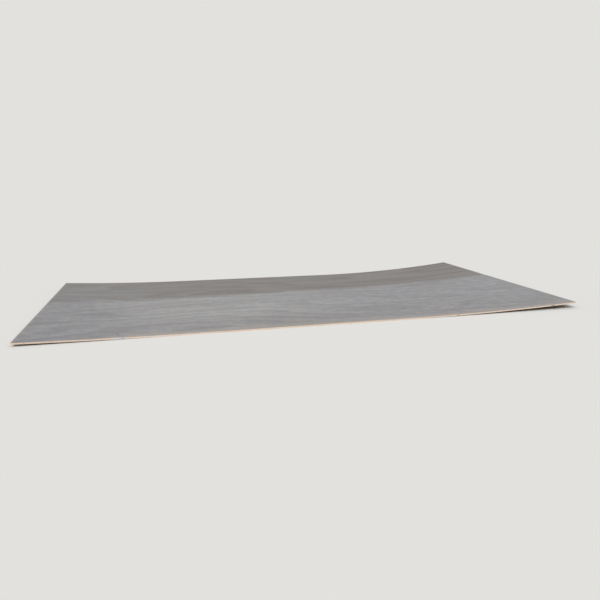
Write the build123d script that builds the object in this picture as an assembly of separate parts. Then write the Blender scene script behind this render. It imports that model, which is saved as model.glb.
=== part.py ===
from build123d import *
import math
import os

# One plywood sheet of full trade size, lying loose on its face, in millimetres.
# X runs along the length, Y across the width and Z up. The front long edge is at -Y.
# The origin is the middle of the sheet's outline, on the plane that its flat middle rests on.

# The size that the sheet is sawn to
sheet_length = 2440.0
sheet_width = 1220.0
sheet_thickness = 6.0

# The bow of a stored thin sheet: each end curls up from the flat middle, one corner the most
left_curl_length = 640.0
left_front_lift = 9.0
left_back_lift = 18.0
right_curl_length = 900.0
right_front_lift = 24.0
right_back_lift = 52.0

# The four corners, dulled by handling
corner_wear_radius = 4.0

# Gaps between the core veneers that the saw has opened. Each has its side, its distance along
# that side from the left or the front end, its length and its depth.
core_gap_height = 1.8
core_gaps = [
    ("front", 1810.0, 14.0, 6.0),
    ("front", 2310.0, 18.0, 5.0),
    ("right", 360.0, 14.0, 5.0),
    ("back", 240.0, 15.0, 6.0),
    ("back", 1315.0, 20.0, 6.0),
    ("back", 1830.0, 9.0, 4.0),
    ("left", 825.0, 17.0, 6.0),
]

# Chips out of the upper face veneer along the saw cut, listed in the same way.
# The first one is the small notch near the left end of the front edge.
face_veneer_thickness = 0.7
veneer_chips = [
    ("front", 438.0, 5.0, 0.9),
    ("front", 2125.0, 18.0, 2.2),
    ("right", 730.0, 20.0, 2.4),
    ("back", 520.0, 14.0, 1.9),
    ("back", 2100.0, 24.0, 2.6),
    ("left", 650.0, 16.0, 2.0),
]

left_end = -sheet_length / 2
right_end = sheet_length / 2
front_side = -sheet_width / 2
back_side = sheet_width / 2
flat_from = left_end + left_curl_length
flat_to = right_end - right_curl_length

outward = {
    "front": Vector(0, -1, 0),
    "right": Vector(1, 0, 0),
    "back": Vector(0, 1, 0),
    "left": Vector(-1, 0, 0),
}


def radius_of_curl(curl_length, lift):
    """Radius of the lower face where an end curls up to this lift."""
    return (curl_length**2 + lift**2) / (2 * lift)


def top_of_curl(curl_length, lift):
    """Height of the upper face at the sheet's end, where it curls with the lower face."""
    lower_radius = radius_of_curl(curl_length, lift)
    upper_radius = lower_radius - sheet_thickness
    return lower_radius - math.sqrt(upper_radius**2 - curl_length**2)


def curl_section(y, root, curl_length, lift, direction):
    """Lengthwise section of one curled end at one place across the sheet."""
    end = root + direction * curl_length
    lower_root = Vector(root, y, 0)
    upper_root = Vector(root, y, sheet_thickness)
    lower_end = Vector(end, y, lift)
    upper_end = Vector(end, y, top_of_curl(curl_length, lift))
    along = Vector(direction, 0, 0)
    outline = [
        TangentArc(lower_root, lower_end, tangent=along),
        Line(lower_end, upper_end),
        TangentArc(upper_root, upper_end, tangent=along),
        Line(upper_root, lower_root),
    ]
    return Face(Wire(outline))


def curled_end(root, curl_length, front_lift, back_lift, direction):
    """One end of the sheet, from its flat middle to the saw cut, twisted between the long edges."""
    front = curl_section(front_side, root, curl_length, front_lift, direction)
    back = curl_section(back_side, root, curl_length, back_lift, direction)
    return loft([front, back], ruled=True)


def flat_middle():
    """The stretch that lies on the floor under the sheet's own weight."""
    length = flat_to - flat_from
    place = Pos((flat_from + flat_to) / 2, 0, sheet_thickness / 2)
    return place * Box(length, sheet_width, sheet_thickness)


def lower_face_height(x, y):
    """Height of the lower face above the floor at any place of the sheet."""
    run = flat_from - x
    curl_length, front_lift, back_lift = left_curl_length, left_front_lift, left_back_lift
    if x > flat_to:
        run = x - flat_to
        curl_length, front_lift, back_lift = right_curl_length, right_front_lift, right_back_lift
    if run <= 0:
        return 0.0
    front_radius = radius_of_curl(curl_length, front_lift)
    back_radius = radius_of_curl(curl_length, back_lift)
    front = front_radius - math.sqrt(front_radius**2 - run**2)
    back = back_radius - math.sqrt(back_radius**2 - run**2)
    return front + (back - front) * (y - front_side) / sheet_width


def edge_point(side, along):
    """The point at half thickness on a sawn edge, this far along from the left or the front end."""
    x = {"left": left_end, "right": right_end}.get(side, left_end + along)
    y = {"front": front_side, "back": back_side}.get(side, front_side + along)
    return Vector(x, y, lower_face_height(x, y) + sheet_thickness / 2)


def edge_plane(side, along):
    """A plane on a sawn edge: X follows the edge as it curls, Y is up and Z faces outwards."""
    follow = edge_point(side, along + 1) - edge_point(side, along - 1)
    up = follow.cross(outward[side])
    if up.Z < 0:
        up = -up
    return Plane(edge_point(side, along), x_dir=up.cross(outward[side]), z_dir=outward[side])


def core_gap(side, along, length, depth):
    """The room of one opened gap: a flat slot that runs straight into the core."""
    mouth = edge_plane(side, along).offset(1) * SlotOverall(length, core_gap_height)
    return extrude(mouth, -depth - 1)


def veneer_chip(side, along, length, depth):
    """The room of one chip: a shallow scoop at the upper corner of the edge, one veneer deep."""
    scoop_radius = (length**2 / 4 + depth**2) / (2 * depth)
    scoop_height = 4 * face_veneer_thickness
    scoop_middle = sheet_thickness / 2 - face_veneer_thickness + scoop_height / 2
    place = Pos(0, scoop_middle, scoop_radius - depth) * Rot(90, 0, 0)
    return edge_plane(side, along).location * place * Cylinder(scoop_radius, scoop_height)


def plywood_sheet():
    """The whole sheet as one solid."""
    sheet = flat_middle()
    sheet += curled_end(flat_from, left_curl_length, left_front_lift, left_back_lift, -1)
    sheet += curled_end(flat_to, right_curl_length, right_front_lift, right_back_lift, 1)
    corner_edges = [
        edge
        for edge in sheet.edges().filter_by(Axis.Z)
        if abs(abs(edge.center().X) - sheet_length / 2) < sheet_thickness / 2
    ]
    sheet = fillet(corner_edges, corner_wear_radius)
    sheet -= [core_gap(*gap) for gap in core_gaps]
    sheet -= [veneer_chip(*chip) for chip in veneer_chips]
    return sheet


os.makedirs("parts", exist_ok=True)
export_step(plywood_sheet(), "parts/plywood_sheet.step")
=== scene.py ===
import math
from types import SimpleNamespace

import bpy
import numpy as np
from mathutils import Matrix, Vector


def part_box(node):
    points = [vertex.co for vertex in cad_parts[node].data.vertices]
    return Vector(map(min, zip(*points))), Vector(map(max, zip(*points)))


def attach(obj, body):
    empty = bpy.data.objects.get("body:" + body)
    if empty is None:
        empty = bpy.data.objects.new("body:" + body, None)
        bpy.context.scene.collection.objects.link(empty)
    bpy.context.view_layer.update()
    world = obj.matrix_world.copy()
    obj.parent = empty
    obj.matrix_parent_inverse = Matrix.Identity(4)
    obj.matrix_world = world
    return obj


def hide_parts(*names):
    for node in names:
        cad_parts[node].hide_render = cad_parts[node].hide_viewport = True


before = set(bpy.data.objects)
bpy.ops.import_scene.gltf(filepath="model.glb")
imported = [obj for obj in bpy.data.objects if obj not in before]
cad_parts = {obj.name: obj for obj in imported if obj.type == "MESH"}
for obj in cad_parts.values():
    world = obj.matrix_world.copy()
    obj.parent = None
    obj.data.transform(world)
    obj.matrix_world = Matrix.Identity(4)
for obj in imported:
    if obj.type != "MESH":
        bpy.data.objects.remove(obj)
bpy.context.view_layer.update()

# Lengths are in metres, and MM turns a size in millimetres into them
MM = 0.001

# The size of the sheet, from the CAD sheet
sheet_low, sheet_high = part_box("plywood_sheet")
half_length = (sheet_high.x - sheet_low.x) / 2
half_width = (sheet_high.y - sheet_low.y) / 2
corner_radius = 4 * MM
straight_x = half_length - corner_radius
straight_y = half_width - corner_radius
face_veneer = 0.7 * MM

# The mesh of the sheet: fine steps round the sawn edge, wider cells over the faces, and rings
# between them at these insets, at least a gap apart, the upper ones a little under full height
cells_along = 120
cells_across = 60
steps_per_cell = {"front": 20, "right": 10, "back": 10, "left": 10}
corner_steps = 4
levels_in_edge = 11
upper_ring_insets = (0.9 * MM, 2.3 * MM)
lower_ring_inset = 1.6 * MM
ring_gap = 0.2 * MM
face_dip = 0.04 * MM

# The finish that each face of the mesh takes
UPPER, EDGE, LOWER = range(3)

# How far the upper face waves up and down, over the whole sheet and finely along its grain
sheet_waves = 0.10 * MM
grain_waves = 0.03 * MM

# How far the edge lies inside the sheet's outline: the saw cut and its wander, the roughness and
# what the core adds to it, the torn pits, and the wear of the lower and the nibbled upper corner
least_cut = 0.26 * MM
saw_wander = 0.22 * MM
least_roughness = 0.05 * MM
core_roughness = 0.14 * MM
pit_depth = 0.9 * MM
lower_corner_wear = 0.10 * MM
upper_corner_wear = 0.12 * MM
nibble_depth = 0.80 * MM
nibble_depth_below = 0.35 * MM

# Marks on the sawn edge are listed in millimetres. Each has its side and its distance along
# that side from the left or the front end, and the gaps and chips then their length and depth.
core_gap_height = 1.8
core_gaps = [
    ("front", 1810, 14, 6),
    ("front", 2310, 18, 5),
    ("right", 360, 14, 5),
    ("back", 240, 15, 6),
    ("back", 1315, 20, 6),
    ("back", 1830, 9, 4),
    ("left", 825, 17, 6),
]
veneer_chips = [
    ("front", 438, 5, 0.9),
    ("front", 2125, 18, 2.2),
    ("right", 730, 20, 2.4),
    ("back", 520, 14, 1.9),
    ("back", 2100, 24, 2.6),
    ("left", 650, 16, 2),
]

# Slivers of the upper veneer that the saw has lifted: side, distance, length, width and lift.
# Their roots are buried in the sheet.
sliver_steps = 6
sliver_thickness = 0.35 * MM
sliver_root_depth = 0.15 * MM
lifted_slivers = [
    ("front", 212, 26, 1.3, 1.1),
    ("front", 362, 6, 2, 3),
    ("front", 1985, 34, 1.5, 1.6),
    ("back", 970, 30, 1.4, 1.4),
    ("back", 1920, 22, 1.2, 1),
    ("left", 480, 9, 1.6, 0.8),
    ("left", 975, 7, 1.2, 0.6),
    ("right", 540, 8, 1.4, 0.7),
    ("right", 1030, 10, 1.8, 0.9),
]

# The splinter that hangs over the front edge, and how deep and wide the bed is that it left
splinter = SimpleNamespace(distance=1205, length=4.6, width=2.4, lift=0.5)
splinter_bed_depth = 1.1
splinter_bed_width = 1.5 * splinter.width

# The fibres that the saw left on the edge, and the longer ones that lift from its upper corner.
# Their roots lie at shares of the thickness, and the share of places tells how many grow.
saw_fibre_sizes = {
    "Seed": 5, "Share of places": 0.26, "Lowest root": 0.15, "Highest root": 0.92,
    "Shortest": 2.5 * MM, "Longest": 12 * MM, "Girth": 0.13 * MM, "Rise": 2.2 * MM,
    "Bulge": 0.45 * MM,
}
corner_fibre_sizes = {
    "Seed": 6, "Share of places": 0.035, "Lowest root": 0.93, "Highest root": 0.98,
    "Shortest": 6 * MM, "Longest": 20 * MM, "Girth": 0.12 * MM, "Rise": 4.5 * MM,
    "Bulge": 0.45 * MM,
}
fibre_spacing = 2 * MM
fibre_root_inset = 0.45 * MM

# How far fibres stay inside the sheet's outline, above the floor and under the highest corner
outline_room = 0.02 * MM
floor_room = 0.15 * MM
top_room = 0.05 * MM

# Smears of pale dust and blue marking chalk on the front edge: distance and width, colour, strength
chalk_smears = [
    (369, 62, (227, 220, 205), 0.70),
    (356, 12, (204, 211, 216), 0.80),
    (375, 13, (199, 208, 218), 0.85),
    (386, 12, (148, 173, 197), 0.85),
]

# Smudges on the upper face near the front edge: distance from the left end and from the front
# edge, length and width in millimetres, turn in degrees, colour, strength
face_smudges = [
    (285, 34, 190, 46, 3, (126, 124, 124), 0.55),
    (364, 42, 80, 9, 100, (130, 102, 94), 0.55),
    (399, 36, 54, 15, 99, (174, 145, 148), 0.50),
    (385, 12, 30, 13, 99, (121, 141, 162), 0.60),
    (480, 95, 170, 9, 14, (136, 132, 145), 0.40),
]

# Where the tone of the upper face changes, from one place to another in metres from the middle:
# along the sheet for the cooler ends, across it for the front strip and the back, which both
# carry painted shade
cooler_right = (-0.30, 0.40)
cooler_left_end = (-1.12, -0.66)
painted_front_shade = (-0.49, -0.36)
darker_back = (0.06, 0.17)
darker_back_slope = 0.03
softer_back_at_left = (-1.05, -0.70)

# The strip that hands have rubbed along the front edge, which fades at its left end, and the rim
# rubbed bare all round
handled_strip = (5 * MM, 75 * MM)
handled_from = (-1.0, -0.75)
rubbed_rim = (0.5 * MM, 8 * MM)

# Scratches fan out over the middle of the face from a point outside the sheet, in a direction in
# radians, and fade at these places across the sheet
scratch_centre = (-1.34, -1.51)
scratch_direction = 0.93
scratch_spread = (0.04, 0.11)
scratches_from = (-0.42, -0.22)
scratches_to = (0.42, 0.60)

# The floor, which fades into the backdrop between two distances
floor_radius = 30.0
floor_fade = (2.6, 7.0)

# The light, and the camera with the point that it looks at. Angles are in degrees and the lens
# is in millimetres.
sky_strength = 0.58
sun_strength = 1.97
sun_softness = 35
sun_direction = Vector((0.405, 0.579, -0.707))
camera_azimuth = -15
camera_elevation = 12
camera_distance = 2.76
camera_lens = 31.2
camera_aim = Vector((0.02, 0.0, -0.02))


def srgb(red, green, blue):
    """A colour from 0 to 255 in the linear values that a shader takes."""
    linear = [((part / 255 + 0.055) / 1.055) ** 2.4 for part in (red, green, blue)]
    return (*linear, 1.0)


backdrop = srgb(226, 225, 222)


class Result:
    """What a node gives. Arithmetic with it adds the nodes for the next result."""

    def __init__(self, recipe, socket):
        self.recipe = recipe
        self.socket = socket

    def __add__(self, other):
        return self.recipe.math("ADD", self, other)

    def __sub__(self, other):
        return self.recipe.math("SUBTRACT", self, other)

    def __rsub__(self, other):
        return self.recipe.math("SUBTRACT", other, self)

    def __mul__(self, other):
        return self.recipe.math("MULTIPLY", self, other)

    def __truediv__(self, other):
        return self.recipe.math("DIVIDE", self, other)

    def __abs__(self):
        return self.recipe.math("ABSOLUTE", self)

    def root(self):
        return self.recipe.math("SQRT", self)

    def at_least(self, other):
        """The larger of this and the other."""
        return self.recipe.math("MAXIMUM", self, other)

    def at_most(self, other):
        """The smaller of this and the other."""
        return self.recipe.math("MINIMUM", self, other)

    def band(self, low, high, at_low=0, at_high=1):
        """Goes smoothly from at_low to at_high as this goes from low to high."""
        inputs = {"Value": self, "From Min": low, "From Max": high, "To Min": at_low, "To Max": at_high}
        return self.recipe.step("ShaderNodeMapRange", inputs, interpolation_type="SMOOTHSTEP")


def in_use(sockets, name=None):
    """The first socket that is in use, or the one with this name."""
    return next(socket for socket in sockets if socket.enabled and name in (None, socket.name))


class Recipe:
    """Nodes in the making: each call adds a node and gives back its result."""

    def __init__(self, tree):
        self.tree = tree

    def feed(self, socket, value):
        """Joins a result to a socket, or sets a plain value on it."""
        if isinstance(value, Result):
            self.tree.links.new(value.socket, socket)
        else:
            socket.default_value = value

    def step(self, kind, inputs=(), output=None, **settings):
        """A node with its inputs by name or in order. Gives its first or the named output."""
        node = self.tree.nodes.new(kind)
        for name, setting in settings.items():
            setattr(node, name, setting)
        if isinstance(inputs, dict):
            for name, value in inputs.items():
                self.feed(in_use(node.inputs, name), value)
        else:
            for socket, value in zip(node.inputs, inputs):
                self.feed(socket, value)
        return Result(self, in_use(node.outputs, output))

    def math(self, operation, *values):
        return self.step("ShaderNodeMath", values, operation=operation)

    def parts(self, vector):
        """The X, Y and Z of a vector."""
        node = self.step("ShaderNodeSeparateXYZ", [vector]).socket.node
        return [Result(self, socket) for socket in node.outputs]

    def vector(self, x, y, z):
        """A vector from its X, Y and Z."""
        return self.step("ShaderNodeCombineXYZ", (x, y, z))

    def noise(self, vector, scale=1, detail=3, roughness=0.5):
        """Noise around 0.5, finer as the scale goes up."""
        inputs = {"Vector": vector, "Scale": scale, "Detail": detail, "Roughness": roughness}
        return self.step("ShaderNodeTexNoise", inputs)


class Shaping(Recipe):
    """A Geometry Nodes tree with named inputs."""

    def __init__(self, name):
        super().__init__(bpy.data.node_groups.new(name, "GeometryNodeTree"))
        for way in ("INPUT", "OUTPUT"):
            self.tree.interface.new_socket("Geometry", in_out=way, socket_type="NodeSocketGeometry")
        self.entry = self.tree.nodes.new("NodeGroupInput")
        self.exit = self.tree.nodes.new("NodeGroupOutput")
        self.start = Result(self, self.entry.outputs["Geometry"])

    def size(self, name, kind="NodeSocketFloat"):
        """A named input of the tree."""
        self.tree.interface.new_socket(name, in_out="INPUT", socket_type=kind)
        return Result(self, self.entry.outputs[name])

    def random(self, low, high, seed, number):
        """A random value for each point. Each use in a tree has a number of its own."""
        inputs = {"Min": low, "Max": high, "Seed": seed + number}
        return self.step("FunctionNodeRandomValue", inputs, data_type="FLOAT")

    def moved(self, geometry, **change):
        """The geometry with its points moved by an Offset, or to a new Position."""
        return self.step("GeometryNodeSetPosition", {"Geometry": geometry, **change})

    def realized(self, geometry):
        return self.step("GeometryNodeRealizeInstances", {"Geometry": geometry})

    def end(self, geometry, *coats):
        """Ends the tree with a real mesh and each material on the faces selected for it."""
        geometry = self.realized(geometry)
        for selection, material in coats:
            inputs = {"Geometry": geometry, "Selection": selection, "Material": material}
            geometry = self.step("GeometryNodeSetMaterial", inputs)
        self.feed(self.exit.inputs["Geometry"], geometry)
        return self.tree


def arc_rise(run, length, lift):
    """Height of an arc that leaves the floor gently and reaches its lift after its length."""
    radius = (length * length + lift * lift) / (lift * 2)
    run_squared = run * run
    side = (radius * radius - run_squared).root()
    return run_squared / (radius + side)


def bow(recipe, geometry):
    """Curls a flat-made piece up with the sheet's ends, each with its lift at front and back."""
    x, y = recipe.parts(recipe.step("GeometryNodeInputPosition"))[:2]
    flat_from = recipe.size("Flat from")
    flat_to = recipe.size("Flat to")
    left_run = (flat_from - x).at_least(0)
    right_run = (x - flat_to).at_least(0)
    rise = {}
    for side in ("front", "back"):
        left = arc_rise(left_run, flat_from + half_length, recipe.size(f"Left {side} lift"))
        right = arc_rise(right_run, half_length - flat_to, recipe.size(f"Right {side} lift"))
        rise[side] = left + right
    across = (y + half_width) / (half_width * 2)
    height = rise["front"] + (rise["back"] - rise["front"]) * across
    return recipe.moved(geometry, Offset=recipe.vector(0, 0, height))


def read_bow(node):
    """The sizes of the bow and the thickness, from the CAD sheet's own corners."""
    points = np.array([vertex.co for vertex in node.data.vertices], float)
    near = 0.01 * MM
    resting = points[points[:, 2] < near]
    sizes = {"Flat from": resting[:, 0].min(), "Flat to": resting[:, 0].max()}
    for name, side in (("Left", -1), ("Right", 1)):
        end = points[abs(points[:, 0] - side * half_length) < near]
        front = min(end[end[:, 1] < end[:, 1].min() + near], key=lambda point: point[2])
        back = min(end[end[:, 1] > end[:, 1].max() - near], key=lambda point: point[2])
        slope = (back[2] - front[2]) / (back[1] - front[1])
        sizes[f"{name} front lift"] = front[2] - slope * (half_width + front[1])
        sizes[f"{name} back lift"] = back[2] + slope * (half_width - back[1])
    at_root = points[abs(points[:, 0] - sizes["Flat from"]) < near]
    sizes["Thickness"] = float(at_root[:, 2].max())
    return sizes


def shape(piece, tree, sizes):
    """Runs a tree on a piece with these sizes and keeps the plain mesh that it gives."""
    modifier = piece.modifiers.new(tree.name, "NODES")
    modifier.node_group = tree
    for socket in tree.interface.items_tree:
        if socket.in_out == "INPUT" and socket.name in sizes:
            modifier[socket.identifier] = sizes[socket.name]
    graph = bpy.context.evaluated_depsgraph_get()
    shaped = piece.evaluated_get(graph)
    mesh = bpy.data.meshes.new_from_object(shaped, preserve_all_data_layers=True, depsgraph=graph)
    piece.modifiers.clear()
    piece.data = mesh
    mesh.name = piece.name


def add_object(name, data):
    """A new object in the scene, at the origin."""
    added = bpy.data.objects.new(name, data)
    bpy.context.scene.collection.objects.link(added)
    return added


def new_piece(name, vertices, faces):
    """A new object with this mesh."""
    mesh = bpy.data.meshes.new(name)
    mesh.from_pydata(vertices, [], faces)
    return add_object(name, mesh)


def smooth_random(places, period, seed):
    """Random values from 0 to 1 that change smoothly, about once in each period."""
    lattice = np.random.default_rng(seed).random(int(places.max() / period) + 3)
    cell = np.floor(places / period).astype(int)
    share = places / period - cell
    share = share * share * (3 - 2 * share)
    return lattice[cell] * (1 - share) + lattice[cell + 1] * share


def above(values, threshold):
    """How far values reach above a threshold: 0 up to it, and 1 for the value 1."""
    return np.clip(values - threshold, 0, 1) / (1 - threshold)


def slow_waves(x, y, seed, longest=0.55, count=9):
    """Slow unevenness from -1 to 1, as a sum of waves in many directions."""
    random = np.random.default_rng(seed)
    total = np.zeros_like(x)
    for number in range(count):
        length = longest / (1 + 0.45 * number)
        turn = random.uniform(0, math.pi)
        phase = random.uniform(0, 2 * math.pi)
        total += np.sin((x * math.cos(turn) + y * math.sin(turn)) * 2 * math.pi / length + phase)
    return total / count


class EdgePath:
    """The sawn edge seen from above, from the front side anticlockwise, with dulled corners."""

    def __init__(self):
        sides = {
            "front": ((-straight_x, -half_width), (straight_x, -half_width), cells_along),
            "right": ((half_length, -straight_y), (half_length, straight_y), cells_across),
            "back": ((straight_x, half_width), (-straight_x, half_width), cells_along),
            "left": ((-half_length, straight_y), (-half_length, -straight_y), cells_across),
        }
        self.points = []
        self.normals = []
        self.starts = {}
        for number, (name, (start, end, cells)) in enumerate(sides.items()):
            self.starts[name] = len(self.points)
            self.add_side(np.array(start), np.array(end), cells * steps_per_cell[name], number)
        self.points = np.array(self.points)
        self.normals = np.array(self.normals)
        self.count = len(self.points)
        steps = np.linalg.norm(np.roll(self.points, -1, 0) - self.points, axis=1)
        self.run = np.concatenate([[0], np.cumsum(steps)])

    def add_side(self, start, end, steps, number):
        """One straight side, numbered from the front, and the dulled corner after it."""
        turn = math.radians(-90 + 90 * number)
        outward = np.array([math.cos(turn), math.sin(turn)])
        for step in range(steps + 1):
            self.points.append(start + (end - start) * step / steps)
            self.normals.append(outward)
        centre = end - outward * corner_radius
        for step in range(1, corner_steps):
            angle = turn + math.radians(90) * step / corner_steps
            outward = np.array([math.cos(angle), math.sin(angle)])
            self.points.append(centre + outward * corner_radius)
            self.normals.append(outward)

    def run_at(self, side, distance):
        """How far round the edge the middle of a mark lies."""
        axis, half = (0, half_length) if side in ("front", "back") else (1, half_width)
        start = self.starts[side]
        return self.run[start] + abs(distance * MM - half - self.points[start][axis])

    def point_at(self, side, distance):
        """The number of the path's point at a mark."""
        return int(np.searchsorted(self.run, self.run_at(side, distance)))

    def profile(self, side, distance, length, power):
        """1 at the middle of a mark, down to 0 at its ends, steeper there for a higher power."""
        away = (self.run[:-1] - self.run_at(side, distance)) / (length * MM / 2)
        return np.clip(1 - away**power, 0, 1)

    def inset(self, depths):
        """The path moved inwards, by one depth or by a depth at each point."""
        return self.points - self.normals * np.reshape(depths, (-1, 1))

    def shrunk_corners(self, first):
        """A vertex number for each point, where each dulled corner shares one vertex."""
        numbers = np.zeros(self.count, int)
        following = np.roll(self.normals, -1, 0)
        straight = np.isclose(self.normals, following, atol=1e-9).all(1)
        numbers[1:] = np.cumsum(straight)[:-1]
        numbers[numbers == straight.sum()] = 0
        return numbers + first


def torn_core(places, heights, thickness):
    """How deep the core is torn, from 0 to 1, at each height and point of the edge."""
    middle = thickness / 2
    in_core = np.clip((middle - face_veneer - abs(heights - middle)) / (0.5 * MM), 0, 1)
    patches = 0.12 + 0.88 * smooth_random(places, 70 * MM, 13) ** 2
    pit_height = middle + (smooth_random(places, 4.1 * MM, 14) - 0.5) * 0.5 * thickness
    pit_reach = (0.6 + 1.1 * smooth_random(places, 2.7 * MM, 15)) * MM
    pits = above(smooth_random(places, 2.8 * MM, 16), 0.55)
    return in_core * patches * pits * np.clip(1 - ((heights - pit_height) / pit_reach) ** 2, 0, 1)


def worn_edge(path, levels):
    """How far the saw, pits and marks take each point of the edge inwards, and where each shows."""
    places = path.run[:-1]
    heights = levels[:, None]
    thickness = levels[-1]
    middle = thickness / 2
    pits = torn_core(places, heights, thickness)
    nibbles = above(smooth_random(places, 3.3 * MM, 17), 0.62)
    nibbles = nibbles * (0.35 + 0.65 * smooth_random(places, 50 * MM, 20))
    off_middle = abs(heights - middle)
    roughness = least_roughness + core_roughness * np.clip(1.3 - off_middle / middle, 0, 1)
    depth = least_cut + saw_wander * smooth_random(places, 170 * MM, 12)
    depth = depth + np.random.default_rng(11).random(pits.shape) * roughness + pit_depth * pits
    depth[0] += lower_corner_wear
    depth[-1] += upper_corner_wear + nibble_depth * nibbles
    depth[-2] += nibble_depth_below * nibbles

    gaps = np.zeros_like(depth)
    opened = np.clip((core_gap_height / 2 * MM - off_middle) / (0.3 * MM), 0, 1)
    for side, distance, length, gap_depth in core_gaps:
        opening = opened * path.profile(side, distance, length, 4)
        gaps = np.maximum(gaps, opening)
        depth = np.maximum(depth, opening * gap_depth * MM)
    chips = np.zeros(path.count)
    for side, distance, length, chip_depth in veneer_chips:
        chips = np.maximum(chips, path.profile(side, distance, length, 2) * chip_depth * MM)
    bed = path.profile("front", splinter.distance, splinter_bed_width, 4)
    below_root = np.clip((thickness - 0.6 * MM - heights) / (0.6 * MM), 0, 1)
    depth = np.maximum(depth, bed * below_root * splinter_bed_depth * MM)
    return SimpleNamespace(depth=depth, pits=pits, gaps=gaps, chips=chips, nibbles=nibbles)


class SheetMesh:
    """Gathers the points and faces of the sheet, and where the edge's faces lie along it."""

    def __init__(self):
        self.blocks = []
        self.count = 0
        self.marks = {"bare": [], "pit": [], "gap": []}
        self.faces = []
        self.places = []
        self.finishes = []

    def add_points(self, x, y, z, **marks):
        """Adds points, marked where the wood is bare, pitted or open, and gives their numbers."""
        first = self.count
        self.blocks.append(np.column_stack([x, y, np.broadcast_to(z, x.shape)]))
        for name, blocks in self.marks.items():
            blocks.append(np.broadcast_to(marks.get(name, 0), x.shape))
        self.count += len(x)
        return np.arange(first, self.count)

    def add_face(self, corners, finish, places=None):
        """Adds a face, with its corners' places on the unrolled edge if it is part of that."""
        self.faces.append([int(corner) for corner in corners])
        self.places.extend(places or [(0, 0)] * len(corners))
        self.finishes.append(finish)

    def add_band(self, lower, upper, finish, path=None, heights=None):
        """A closed band of faces between two rings, with triangles where a corner has shrunk."""
        for here in range(len(lower)):
            ahead = (here + 1) % len(lower)
            corners = [lower[here], lower[ahead], upper[ahead], upper[here]]
            kept = [corners[number] for number in range(4) if corners[number] != corners[number - 1]]
            places = None
            if path:
                start, end = path.run[here:here + 2]
                low, high = heights
                places = [(start, low), (end, low), (end, high), (start, high)]
            self.add_face(kept, finish, places)

    def add_face_grid(self, path, ring, coarseness, height, finish):
        """The wide cells of one face, with fans of triangles where they meet the fine ring."""
        cells_x = cells_along // coarseness
        cells_y = cells_across // coarseness
        xs = np.linspace(-straight_x, straight_x, cells_x + 1)
        ys = np.linspace(-straight_y, straight_y, cells_y + 1)
        numbers = np.zeros((cells_y + 1, cells_x + 1), int)
        inner_x, inner_y = (axis.ravel() for axis in np.meshgrid(xs[1:-1], ys[1:-1]))
        inner = self.add_points(inner_x, inner_y, height(inner_x, inner_y))
        numbers[1:-1, 1:-1] = inner.reshape(cells_y - 1, cells_x - 1)

        def on_side(side, cell):
            """The ring's vertices along one cell of a side."""
            steps = steps_per_cell[side] * coarseness
            start = path.starts[side] + cell * steps
            return [int(vertex) for vertex in ring[start:start + steps]]

        borders = (numbers[0, :-1], numbers[:-1, -1], numbers[-1, :0:-1], numbers[:0:-1, 0])
        for side, border in zip(path.starts, borders):
            border[:] = [on_side(side, cell)[0] for cell in range(len(border))]
        last_row = cells_y - 1
        last_column = cells_x - 1
        for row in range(cells_y):
            for column in range(cells_x):
                near_left, near_right = numbers[row, column:column + 2]
                far_left, far_right = numbers[row + 1, column:column + 2]
                loop = on_side("front", column) if row == 0 else [near_left]
                loop += on_side("right", row) if column == last_column else [near_right]
                loop += on_side("back", last_column - column) if row == last_row else [far_right]
                loop += on_side("left", last_row - row) if column == 0 else [far_left]
                self.add_cell(loop, xs[column:column + 2], ys[row:row + 2], height, finish)

    def add_cell(self, loop, x_range, y_range, height, finish):
        """One wide cell: a four-sided face, or a fan where its border is finer."""
        if finish == LOWER:
            loop = loop[::-1]
        if len(loop) == 4:
            self.add_face(loop, finish)
            return
        x = np.array([x_range.mean()])
        y = np.array([y_range.mean()])
        centre = self.add_points(x, y, height(x, y))[0]
        for here, vertex in enumerate(loop):
            ahead = loop[(here + 1) % len(loop)]
            self.add_face([centre, vertex, ahead], finish)

    def as_piece(self):
        """The gathered sheet as an object, with its surface map and marks."""
        sheet = new_piece("worn_sheet", np.vstack(self.blocks).tolist(), self.faces)
        data = sheet.data
        layer = data.uv_layers.new(name="edge_map")
        layer.data.foreach_set("uv", np.array(self.places, np.float32).ravel())
        finishes = np.array(self.finishes, np.int32)
        data.attributes.new("finish", "INT", "FACE").data.foreach_set("value", finishes)
        for name, blocks in self.marks.items():
            values = np.concatenate(blocks).astype(np.float32)
            data.attributes.new(name, "FLOAT", "POINT").data.foreach_set("value", values)
        return sheet


def upper_slack(x, y):
    """How far the wavy upper face lies under its full height."""
    over_sheet = 1 + slow_waves(x, y, 18)
    along_grain = 1 + slow_waves(x * 0.12, y, 19, 0.06, 4)
    return sheet_waves * over_sheet + grain_waves * along_grain


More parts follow.
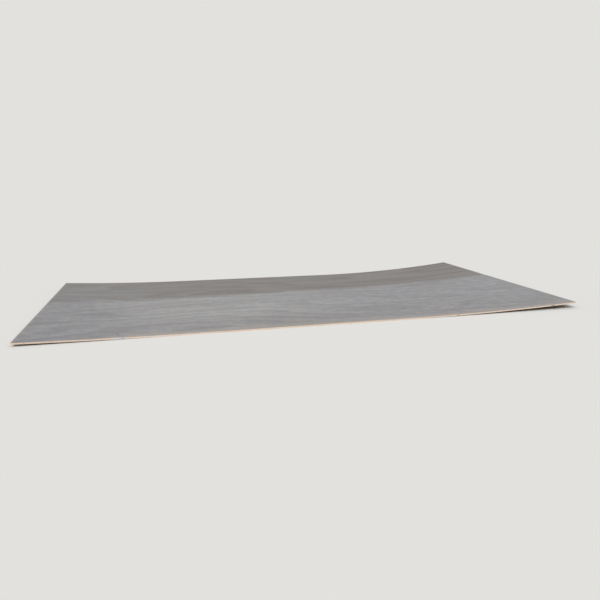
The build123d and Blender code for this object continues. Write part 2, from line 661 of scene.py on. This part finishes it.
def make_sheet(path, thickness):
    """The whole sheet as one closed mesh, flat as it left the saw."""
    levels = np.linspace(0, thickness, levels_in_edge)
    edge = worn_edge(path, levels)
    drop = np.minimum(edge.chips / (0.5 * MM), 1) * face_veneer
    chipped = (edge.chips > 0) * 1.0
    mesh = SheetMesh()

    def upper_height(x, y):
        return thickness - upper_slack(x, y)

    def lower_height(x, y):
        return np.zeros_like(x)

    def add_ring(depths, heights, **marks):
        """A ring of points at these depths inside the sheet's outline."""
        x, y = path.inset(depths).T
        return mesh.add_points(x, y, heights, **marks)

    def add_shrunk_ring(height):
        """The ring where each dulled corner has shrunk to a single point."""
        numbers = path.shrunk_corners(mesh.count)
        first_use = np.unique(numbers, return_index=True)[1]
        x, y = path.inset(corner_radius)[first_use].T
        mesh.add_points(x, y, height(x, y))
        return numbers

    rings = []
    for row, level in enumerate(levels):
        bare = chipped * (level > thickness - 1.3 * face_veneer)
        if row == len(levels) - 1:
            bare = np.maximum(bare, edge.nibbles)
        marks = {"bare": bare, "pit": edge.pits[row], "gap": edge.gaps[row]}
        rings.append(add_ring(edge.depth[row], np.minimum(level, thickness - drop), **marks))
    for row in range(len(levels) - 1):
        mesh.add_band(rings[row], rings[row + 1], EDGE, path, levels[row:row + 2])

    in_chips = np.maximum(upper_ring_insets[0], edge.chips * 0.97)
    in_chips = np.maximum(in_chips, edge.depth[-1] + ring_gap)
    first = add_ring(in_chips, thickness - face_dip - drop, bare=chipped)
    mesh.add_band(rings[-1], first, UPPER)
    behind_chips = np.maximum(upper_ring_insets[1], edge.chips + 0.35 * MM)
    behind_chips = np.maximum(behind_chips, edge.depth[-1] + 2 * ring_gap)
    second = add_ring(behind_chips, thickness - face_dip)
    mesh.add_band(first, second, UPPER)
    third = add_shrunk_ring(upper_height)
    mesh.add_band(second, third, UPPER)
    mesh.add_face_grid(path, third, 1, upper_height, UPPER)

    first = add_ring(lower_ring_inset, 0)
    mesh.add_band(first, rings[0], LOWER)
    second = add_shrunk_ring(lower_height)
    mesh.add_band(second, first, LOWER)
    mesh.add_face_grid(path, second, 2, lower_height, LOWER)
    return mesh.as_piece()


def bowed_sheet_tree(finishes):
    """Bows the flat-made sheet and gives each face its finish."""
    recipe = Shaping("bowed_sheet")
    geometry = bow(recipe, recipe.start)
    mark = recipe.step("GeometryNodeInputNamedAttribute", {"Name": "finish"}, data_type="INT")
    coats = []
    for number, material in finishes.items():
        inputs = {"A": mark, "B": number}
        chosen = recipe.step("FunctionNodeCompare", inputs, data_type="INT", operation="EQUAL")
        coats.append((chosen, material))
    return recipe.end(geometry, *coats)


def kept_in_box(recipe, position):
    """A place brought inside the outline of the sheet and off the floor."""
    x, y, z = recipe.parts(position)
    limit_x = half_length - outline_room
    limit_y = half_width - outline_room
    kept_x = x.at_most(limit_x).at_least(-limit_x)
    kept_y = y.at_most(limit_y).at_least(-limit_y)
    return recipe.vector(kept_x, kept_y, z.at_least(floor_room))


def kept_below_top(recipe, geometry):
    """Keeps what rises from the highest corner under the highest point of the sheet."""
    x, y, z = recipe.parts(recipe.step("GeometryNodeInputPosition"))
    return recipe.moved(geometry, Position=recipe.vector(x, y, z.at_most(sheet_high.z - top_room)))


def single_fibre(recipe, bulge, girth):
    """One curled fibre of unit length, thickest at its middle."""
    inputs = {
        "Resolution": 8,
        "Start": recipe.vector(-0.5, bulge, 0),
        "Start Handle": recipe.vector(-0.2, bulge * -1.2, bulge),
        "End Handle": recipe.vector(0.2, bulge * -1.3, bulge * -0.8),
        "End": recipe.vector(0.5, bulge * -0.5, bulge * 0.4),
    }
    line = recipe.step("GeometryNodeCurvePrimitiveBezierSegment", inputs)
    line = recipe.step("GeometryNodeResampleCurve", {"Curve": line, "Count": 6})
    ring = recipe.step("GeometryNodeCurvePrimitiveCircle", {"Resolution": 3, "Radius": girth})
    from_middle = recipe.step("GeometryNodeSplineParameter") * 2 - 1
    taper = 1 - from_middle * from_middle * 0.85
    inputs = {"Curve": line, "Profile Curve": ring, "Scale": taper, "Fill Caps": True}
    return recipe.step("GeometryNodeCurveToMesh", inputs)


def fibre_tree(material):
    """Short curled fibres that the saw left along the edge, in tufts."""
    recipe = Shaping("edge_fibres")
    seed = recipe.size("Seed", "NodeSocketInt")
    bulge = recipe.size("Bulge")
    position = recipe.step("GeometryNodeInputPosition")
    in_tuft = recipe.noise(position, 9, 2).band(0.38, 0.62, 0.2, 1.8)
    share = recipe.size("Share of places") * in_tuft
    chosen = recipe.math("LESS_THAN", recipe.random(0, 1, seed, 1), share)
    level = recipe.random(recipe.size("Lowest root"), recipe.size("Highest root"), seed, 2)
    height = recipe.size("Thickness") * level
    roots = recipe.moved(recipe.start, Offset=recipe.vector(0, 0, height))
    length = recipe.random(recipe.size("Shortest"), recipe.size("Longest"), seed, 3)
    rise = recipe.size("Rise") * recipe.random(-1, 1, seed, 4)
    tilt = recipe.math("ARCSINE", rise / length)
    along = recipe.step("GeometryNodeInputNamedAttribute", {"Name": "along"}, data_type="FLOAT_VECTOR")
    along_x, along_y = recipe.parts(along)[:2]
    turn = recipe.vector(0, tilt * -1, recipe.math("ARCTAN2", along_y, along_x))
    inputs = {
        "Points": roots,
        "Instance": single_fibre(recipe, bulge, recipe.size("Girth")),
        "Selection": chosen,
        "Rotation": recipe.step("FunctionNodeEulerToRotation", {"Euler": turn}),
        "Scale": recipe.vector(length, 1, 1),
    }
    fibres = recipe.realized(recipe.step("GeometryNodeInstanceOnPoints", inputs))
    kink = recipe.step("ShaderNodeTexNoise", {"Vector": position, "Scale": 500}, output="Color")
    offset = recipe.vector(*((part - 0.5) * bulge for part in recipe.parts(kink)))
    fibres = recipe.moved(fibres, Offset=offset)
    fibres = recipe.moved(fibres, Position=kept_in_box(recipe, position))
    return recipe.end(kept_below_top(recipe, bow(recipe, fibres)), (True, material))


def fibre_roots(name, path):
    """Where fibres may grow: places spaced evenly just inside the edge, with its direction."""
    chosen = np.diff(np.floor(path.run / fibre_spacing)) > 0
    place = path.inset(fibre_root_inset)[chosen]
    level = np.zeros(len(place))
    roots = new_piece(name, np.column_stack([place, level]).tolist(), [])
    along = np.column_stack([-path.normals[chosen, 1], path.normals[chosen, 0], level])
    layer = roots.data.attributes.new("along", "FLOAT_VECTOR", "POINT")
    layer.data.foreach_set("vector", along.astype(np.float32).ravel())
    return roots


def add_sliver(vertices, faces, root, forward, up, size):
    """Adds a flat, tapering sliver that curls away from its buried root."""
    length, width, lift = (part * MM for part in size)
    first = len(vertices)
    sideways = np.cross(up, forward)
    for step in range(sliver_steps + 1):
        share = step / sliver_steps
        half = sideways * width / 2 * (1 - 0.85 * share**1.5)
        under = root + forward * length * share + up * (lift * share**1.8 - sliver_root_depth)
        over = under + up * sliver_thickness * (1 - 0.6 * share)
        corners = (under - half, under + half, over + half, over - half)
        vertices.extend(tuple(corner) for corner in corners)
    faces.append([first + corner for corner in (3, 2, 1, 0)])
    for step in range(sliver_steps):
        here = first + step * 4
        for corner in range(4):
            ahead = (corner + 1) % 4
            faces.append([here + corner, here + ahead, here + 4 + ahead, here + 4 + corner])
    last = first + sliver_steps * 4
    faces.append([last + corner for corner in range(4)])


def make_slivers(path, thickness):
    """The lifted slivers beside the sawn edge, and the splinter that hangs over it."""
    vertices = []
    faces = []
    upwards = np.array([0, 0, 1])
    for number, (side, distance, length, width, lift) in enumerate(lifted_slivers):
        point = path.point_at(side, distance)
        outward = np.array([*path.normals[point], 0])
        edge = np.array([*path.points[point], thickness])
        if side in ("left", "right"):
            forward = outward
            root = edge - outward * (length + 0.6) * MM
        else:
            forward = np.array([1 if number % 2 else -1, 0, 0])
            root = edge - outward * (width * 0.6 + 0.9) * MM
        add_sliver(vertices, faces, root, forward, upwards, (length, width, lift))
    point = path.point_at("front", splinter.distance)
    outward = np.array([0, -1, 0])
    root = np.array([*path.points[point], thickness - 0.5 * MM]) - outward * 0.75 * MM
    size = (splinter.length, splinter.width, splinter.lift)
    add_sliver(vertices, faces, root, -upwards, outward, size)
    return new_piece("lifted_slivers", vertices, faces)


def sliver_tree(material):
    """Bows the slivers with the sheet that they lie on."""
    recipe = Shaping("bowed_slivers")
    return recipe.end(bow(recipe, recipe.start), (True, material))


class Finish(Recipe):
    """A procedural material."""

    def __init__(self, name):
        self.material = bpy.data.materials.new(name)
        self.material.use_nodes = True
        super().__init__(self.material.node_tree)
        self.shader = self.tree.nodes["Principled BSDF"]

    def object_place(self):
        """The place on the piece in its own coordinates."""
        return self.step("ShaderNodeTexCoord", output="Object")

    def pattern(self, place, scale_x, scale_y, detail=3, roughness=0.5, turn=0):
        """Noise with its own fineness along X and Y, turned by some degrees."""
        rotation = (0, 0, math.radians(turn))
        inputs = {"Vector": place, "Scale": (scale_x, scale_y, 1), "Rotation": rotation}
        return self.noise(self.step("ShaderNodeMapping", inputs), 1, detail, roughness)

    def blend(self, share, first, second):
        """The first colour, or the second where the share is 1."""
        inputs = {"Factor": share, "A": first, "B": second}
        return self.step("ShaderNodeMix", inputs, data_type="RGBA")

    def coated(self, colour, *coats):
        """The colour under coats, each with its share and its own colour from 0 to 255."""
        for share, coat in coats:
            colour = self.blend(share, colour, srgb(*coat))
        return colour

    def mark(self, name):
        """A mark that the mesh carries."""
        return self.step("ShaderNodeAttribute", output="Fac", attribute_name=name)

    def growth_rings(self, place, scale_x, scale_y, rings):
        """Rings of a peeled veneer: long loops, each darkening slowly up to a crisp line."""
        hills = self.pattern(place, scale_x, scale_y, 2, 0.45)
        share = self.math("FRACT", hills * rings)
        return share.band(0.05, 0.84) * share.band(0.86, 0.98, 1, 0)

    def bump(self, height, distance):
        """Fine relief, of this height times the distance."""
        inputs = {"Height": height, "Strength": 1, "Distance": distance}
        self.feed(self.shader.inputs["Normal"], self.step("ShaderNodeBump", inputs))

    def done(self, colour, roughness, specular):
        """The material with its colour and gloss."""
        self.feed(self.shader.inputs["Base Color"], colour)
        self.feed(self.shader.inputs["Roughness"], roughness)
        self.shader.inputs["Specular IOR Level"].default_value = specular
        return self.material


class DustyFace(Finish):
    """The better face: peeled veneer under a film of dust, thinner at the back, with painted shade
    there and at the front.
    """

    def __init__(self):
        super().__init__("dusty_face")
        place = self.object_place()
        self.x, self.y, z = self.parts(place)
        self.clouds = self.pattern(place, 1.3, 2.6, 5, 0.6)
        self.cloudy = self.clouds - 0.5
        self.sway = self.pattern(place, 1, 2, 2, turn=4) - 0.5
        grain = self.vector(self.x, self.y + self.sway * 0.10, z)
        self.mottle = self.pattern(grain, 20, 22, 6, 0.72)
        self.streaks = self.pattern(grain, 1.2, 22, 6, 0.7)
        self.fine_streaks = self.pattern(grain, 6, 190, 5, 0.68)
        self.pores = self.pattern(grain, 55, 900, 2)
        self.rings = self.growth_rings(grain, 0.40, 2.3, 15)
        self.speckle = self.noise(place, 600, 3, 0.6)
        self.ragged = self.noise(place, 160, 3) - 0.5
        wandering = self.cloudy * 0.10 + (self.mottle - 0.5) * 0.05
        from_border = self.y - self.x * darker_back_slope + wandering
        self.painted_back_shade = from_border.band(*darker_back) * self.x.band(*softer_back_at_left, 0.65, 1)

    def veneer(self):
        """The wood under the dust."""
        return self.coated(
            srgb(116, 97, 85),
            (self.fine_streaks.band(0.36, 0.64), (146, 127, 113)),
            (self.rings * 0.9, (92, 74, 63)),
            (self.pores.band(0.50, 0.62, 0, 0.6), (80, 64, 55)),
        )

    def dust_and_painted_shade(self):
        """Mottled grey dust, turning cooler towards the ends, with painted shade behind the front edge
        and at the back.
        """
        drifting = self.x + self.cloudy * 0.35
        near_front = self.y + self.cloudy * 0.12
        return self.coated(
            srgb(151, 153, 155),
            (self.streaks.band(0.36, 0.64), (170, 171, 172)),
            (drifting.band(*cooler_right, 0, 0.75), (143, 145, 150)),
            # Painted shade: the darker blue-grey strip behind the front edge
            (near_front.band(*painted_front_shade, 0.80, 0), (142, 143, 147)),
            (drifting.band(*cooler_left_end, 0.90, 0), (137, 141, 147)),
            (self.mottle.band(0.47, 0.64, 0, 0.28), (112, 123, 136)),
            (self.mottle.band(0.36, 0.53, 0.24, 0), (206, 201, 192)),
            # Painted shade: the darker grey band along the back
            (self.painted_back_shade * 0.84, (112, 114, 112)),
        )

    def cover(self):
        """How much of the veneer the dust hides."""
        settled = self.clouds * 0.5 + self.mottle * 0.5
        cover = (settled + (self.fine_streaks - 0.5) * 0.6).band(0.34, 0.66, 0.64, 0.90)
        # Thinner dust in the back band lets the darker veneer add to its painted shade
        cover = cover - self.painted_back_shade * 0.14 - self.streaks.band(0.60, 0.72) * 0.12
        return cover - self.rings * 0.12

    def scratches(self):
        """Faint broken scratches that fan out over the middle of the face."""
        from_x = self.x + self.sway * 0.5 - scratch_centre[0]
        fan = self.math("ARCTAN2", self.y - scratch_centre[1], from_x)
        lines = self.noise(self.vector(fan * 420, self.x * 3, 0), 1, 1)
        in_fan = abs(fan - scratch_direction).band(*scratch_spread, 1, 0)
        in_fan = in_fan * (self.y.band(*scratches_from) * self.y.band(*scratches_to, 1, 0))
        broken = in_fan * self.mottle.band(0.46, 0.60, 0.15, 1)
        return lines.band(0.58, 0.74) * broken * 0.22

    def smudge(self, middle_x, middle_y, length, width, turn):
        """1 at the middle of a long soft mark, down to 0 at its ragged border."""
        cosine = math.cos(math.radians(turn))
        sine = math.sin(math.radians(turn))
        from_x = self.x - middle_x
        from_y = self.y - middle_y
        ahead = from_x * (2 * cosine / length) + from_y * (2 * sine / length)
        aside = from_x * (-2 * sine / width) + from_y * (2 * cosine / width)
        away = (ahead * ahead + aside * aside).root()
        return (away + self.ragged * 2.6).band(0.15, 1.5, 1, 0)

    def smudges(self):
        """The smudges near the front edge, as coats."""
        for distance, inwards, length, width, turn, tint, strength in face_smudges:
            middle_x = distance * MM - half_length
            middle_y = inwards * MM - half_width
            spot = self.smudge(middle_x, middle_y, length * MM, width * MM, turn)
            yield spot * strength, tint

    def handled(self):
        """Where hands have rubbed the dust along the front edge."""
        from_front = self.y + half_width + self.cloudy * (90 * MM)
        return from_front.band(*handled_strip, 0.34, 0) * self.x.band(*handled_from)

    def rim(self):
        """Where the face is rubbed bare, all round it."""
        from_edge = (half_width - abs(self.y)).at_most(half_length - abs(self.x))
        ragged_edge = from_edge + (self.fine_streaks - 0.5) * (12 * MM)
        return ragged_edge.band(*rubbed_rim, 0.50, 0)

    def finished(self):
        """The whole material."""
        cover = self.cover()
        colour = self.coated(
            self.blend(cover, self.veneer(), self.dust_and_painted_shade()),
            (self.pores.band(0.58, 0.68, 0, 0.30), (112, 99, 90)),
            (self.pores.band(0.30, 0.40, 0.22, 0), (190, 187, 183)),
            (self.scratches(), (186, 185, 182)),
            (self.speckle.band(0.45, 0.72, 0, 0.22), (190, 187, 182)),
            (self.speckle.band(0.26, 0.40, 0.20, 0), (104, 92, 82)),
            *self.smudges(),
            (self.handled(), (178, 169, 158)),
            (self.rim(), (176, 159, 147)),
            (self.mark("bare"), (207, 184, 159)),
        )
        self.bump(self.pores * -0.6 + self.speckle * 0.5, 0.12 * MM)
        self.shader.inputs["Sheen Weight"].default_value = 0.2
        self.shader.inputs["Sheen Roughness"].default_value = 0.4
        self.shader.inputs["Sheen Tint"].default_value = (0.86, 0.93, 1, 1)
        return self.done(colour, cover.band(0.6, 0.95, 0.80, 0.96), 0.25)


def chalk_coats(path, run, level, ragged, caught):
    """The smears on the front edge as coats, each slanting a little."""
    for distance, width, chalk, strength in chalk_smears:
        away = abs(run + level * 0.2 - path.run_at("front", distance)) + (ragged - 0.5) * (8 * MM)
        smear = away.band(width * 0.15 * MM, width * 0.72 * MM, strength, 0)
        yield smear * caught, chalk


def sawn_edge(path, thickness):
    """The sawn edge: pale torn core between thin face veneers, with scuffs and chalk."""
    finish = Finish("sawn_edge")
    place = finish.step("ShaderNodeUVMap", uv_map="edge_map")
    run, level = finish.parts(place)[:2]
    slow = finish.pattern(place, 3, 60, 4, 0.6)
    fibres = finish.pattern(place, 150, 1500, 4, 0.65)
    ticks = finish.pattern(place, 460, 130, 3, 0.6)
    scuffs = finish.pattern(place, 9, 120, 5, 0.65)
    ragged = finish.pattern(place, 300, 500)
    slanted = finish.vector(run + level * 0.35, level, 0)
    saw_lines = finish.pattern(slanted, 1400, 45, 3, 0.6)
    caught = (fibres * 0.6 + ragged * 0.6).band(0.45, 0.62, 0.55, 1)

    core_top = thickness - face_veneer
    core = level.band(face_veneer, face_veneer + 0.4 * MM)
    core = core * level.band(core_top - 0.4 * MM, core_top, 1, 0)
    wavering = level + (slow - 0.5) * (0.6 * MM)
    from_glue = abs(wavering - thickness / 2) - (thickness / 2 - face_veneer)
    glue_line = abs(from_glue).band(0.04 * MM, 0.14 * MM, 1, 0)
    from_top = thickness - wavering
    colour = finish.coated(
        srgb(216, 197, 178),
        (slow.band(0.3, 0.7), (228, 211, 194)),
        (saw_lines.band(0.36, 0.50, 0.35, 0), (190, 166, 144)),
        (fibres.band(0.35, 0.65, 0, 0.55), (238, 222, 206)),
        (core * ticks.band(0.55, 0.68, 0, 0.7), (176, 145, 120)),
        (scuffs.band(0.58, 0.76, 0, 0.45), (184, 170, 158)),
        (from_glue.band(-0.05 * MM, 0.10 * MM) * 0.45, (196, 163, 143)),
        (glue_line * fibres.band(0.35, 0.6, 0.2, 0.7), (160, 122, 104)),
        (from_top.band(0.05 * MM, 0.4 * MM, 0.5, 0), (168, 158, 150)),
        # Partly dirt, partly painted shade: darker brown in the torn pits
        (finish.mark("pit").band(0.05, 0.7, 0, 0.80), (162, 129, 104)),
        *chalk_coats(path, run, level, ragged, caught),
        (finish.mark("bare"), (206, 178, 150)),
        # Painted shade: the open core gaps are coloured nearly black
        (finish.mark("gap"), (58, 44, 34)),
    )
    finish.bump(fibres + ticks * core * 1.5 + saw_lines * 0.8, 0.25 * MM)
    return finish.done(colour, fibres.band(0.3, 0.7, 0.80, 0.92), 0.25)


def brown_face():
    """The plainer lower face: reddish-brown peeled veneer with open grain."""
    finish = Finish("brown_face")
    place = finish.object_place()
    fine = finish.pattern(place, 4, 260, 4, 0.6)
    pores = finish.pattern(place, 50, 1100, 2)
    clouds = finish.noise(place, 2, 4, 0.55)
    rings = finish.growth_rings(place, 0.36, 2.1, 13)
    colour = finish.coated(
        srgb(126, 105, 94),
        (fine.band(0.35, 0.65), (143, 122, 109)),
        (rings * 0.7, (106, 84, 73)),
        (pores.band(0.50, 0.62, 0, 0.55), (88, 70, 61)),
        (clouds.band(0.4, 0.7, 0, 0.35), (124, 108, 102)),
    )
    finish.bump(fine + pores, 0.12 * MM)
    return finish.done(colour, fine.band(0.3, 0.7, 0.62, 0.8), 0.35)


def loose_fibre():
    """Bare pale wood of the fibres and slivers, greyed a little by dust."""
    finish = Finish("loose_fibre")
    place = finish.object_place()
    patches = finish.noise(place, 60, 3)
    fine = finish.noise(place, 900, 2)
    colour = finish.coated(
        srgb(236, 219, 200),
        (patches.band(0.40, 0.60), (196, 168, 142)),
        (fine.band(0.4, 0.7, 0, 0.4), (242, 229, 213)),
    )
    return finish.done(colour, fine.band(0.3, 0.7, 0.8, 0.95), 0.2)


def lay_floor():
    """A pale floor that fades into the equally pale backdrop far from the sheet."""
    bpy.ops.mesh.primitive_circle_add(vertices=96, radius=floor_radius, fill_type="NGON")
    floor = bpy.context.object
    floor.name = "floor"
    finish = Finish("floor")
    finish.done(backdrop, 0.9, 0.1)
    x, y = finish.parts(finish.object_place())[:2]
    far = (x * x + y * y).root().band(*floor_fade)
    matt = Result(finish, finish.shader.outputs[0])
    glow = finish.step("ShaderNodeEmission", {"Color": backdrop, "Strength": 1})
    mix = finish.step("ShaderNodeMixShader", (far, matt, glow))
    finish.feed(finish.tree.nodes["Material Output"].inputs["Surface"], mix)
    floor.data.materials.append(finish.material)


def light_studio():
    """Even light from all round, a soft sun from the front left, and the pale backdrop."""
    world = bpy.data.worlds.new("studio")
    bpy.context.scene.world = world
    world.use_nodes = True
    recipe = Recipe(world.node_tree)
    recipe.tree.nodes.clear()
    sky = {"Color": (0.96, 0.98, 1, 1), "Strength": sky_strength}
    around = recipe.step("ShaderNodeBackground", sky)
    seen = recipe.step("ShaderNodeBackground", {"Color": backdrop, "Strength": 1})
    kinds = ("Camera", "Glossy", "Transmission")
    rays = [recipe.step("ShaderNodeLightPath", output=f"Is {kind} Ray") for kind in kinds]
    to_eye = rays[0].at_least(rays[1]).at_least(rays[2])
    mix = recipe.step("ShaderNodeMixShader", (to_eye, around, seen))
    recipe.feed(recipe.tree.nodes.new("ShaderNodeOutputWorld").inputs["Surface"], mix)

    data = bpy.data.lights.new("sun", "SUN")
    data.energy = sun_strength
    data.color = (1, 0.975, 0.948)
    data.angle = math.radians(sun_softness)
    sun = add_object("sun", data)
    sun.rotation_euler = sun_direction.to_track_quat("-Z", "Y").to_euler()


def set_camera():
    """From the photograph's side, with its slope and lens, far enough for the whole sheet."""
    azimuth = math.radians(camera_azimuth)
    elevation = math.radians(camera_elevation)
    back = Vector((
        math.sin(azimuth) * math.cos(elevation),
        -math.cos(azimuth) * math.cos(elevation),
        math.sin(elevation),
    ))
    data = bpy.data.cameras.new("camera")
    data.sensor_width = 36
    data.lens = camera_lens
    data.clip_start = 0.01
    camera = add_object("camera", data)
    camera.location = camera_aim + back * camera_distance
    camera.rotation_euler = (-back).to_track_quat("-Z", "Y").to_euler()
    bpy.context.scene.camera = camera


set_camera()
lay_floor()
light_studio()

sheet_sizes = read_bow(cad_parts["plywood_sheet"])
thickness = sheet_sizes["Thickness"]
path = EdgePath()

sheet = make_sheet(path, thickness)
finishes = {UPPER: DustyFace().finished(), EDGE: sawn_edge(path, thickness), LOWER: brown_face()}
shape(sheet, bowed_sheet_tree(finishes), sheet_sizes)
sheet.data.shade_smooth()
sheet.data.set_sharp_from_angle(angle=math.radians(40))

bare_wood = loose_fibre()
tufts = fibre_tree(bare_wood)
fibres = fibre_roots("saw_fibres", path)
shape(fibres, tufts, {**sheet_sizes, **saw_fibre_sizes})
corner_fibres = fibre_roots("corner_fibres", path)
shape(corner_fibres, tufts, {**sheet_sizes, **corner_fibre_sizes})

slivers = make_slivers(path, thickness)
shape(slivers, sliver_tree(bare_wood), sheet_sizes)

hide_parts("plywood_sheet")
for piece in (sheet, fibres, corner_fibres, slivers):
    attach(piece, "root")

bpy.context.scene.view_settings.view_transform = "Standard"
